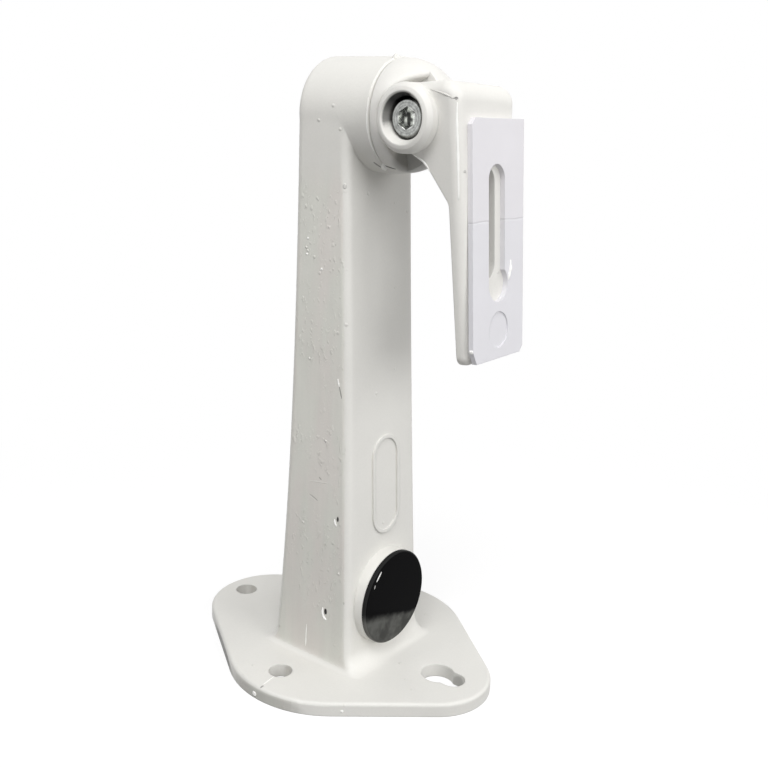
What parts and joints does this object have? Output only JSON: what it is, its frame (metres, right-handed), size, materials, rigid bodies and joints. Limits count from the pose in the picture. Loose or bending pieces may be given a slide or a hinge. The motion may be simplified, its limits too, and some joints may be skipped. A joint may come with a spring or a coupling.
{
  "type": "camera wall bracket",
  "caption": "Hollow cast arm on a four-point base plate, with a swivel knuckle, a tilting slotted camera plate with a pad, and a cable outlet closed by a plug.",
  "frame": {"origin": "on the wall face of the base plate, midway between the back fixing hole and the seat of the keyhole", "axes": "+Z away from the wall along the arm, -Y the side that the camera plate faces, -X the side of the tilt screw"},
  "size_m": [0.0818, 0.1051, 0.1821],
  "materials": {
    "arm_paint": "satin powder coat over a die casting",
    "knuckle_paint": "satin powder coat",
    "head_paint": "satin powder coat",
    "pad_foam": "smooth matt sheet",
    "plug_plastic": "glossy black",
    "screw_steel": "bright plated steel",
    "washer_steel": "plated steel"
  },
  "bodies": {
    "arm": {"arm_casting": "arm_paint", "cable_plug": "plug_plastic"},
    "knuckle": {"swivel_knuckle": "knuckle_paint", "roll_screw": "screw_steel", "roll_washer": "washer_steel", "tilt_screw": "screw_steel", "tilt_washer": "washer_steel"},
    "head": {"camera_head": "head_paint", "camera_pad": "pad_foam"}
  },
  "joints": [
    {"name": "knuckle_roll", "type": "hinge", "parent": "arm", "child": "knuckle", "pos_m": [0, -0.01605, 0.1666], "axis": [0, -1, 0], "range_deg": [-180, 180]},
    {"name": "head_tilt", "type": "hinge", "parent": "knuckle", "child": "head", "pos_m": [0, -0.0297, 0.1662], "axis": [1, 0, 0], "range_deg": [-60, 25]}
  ]
}
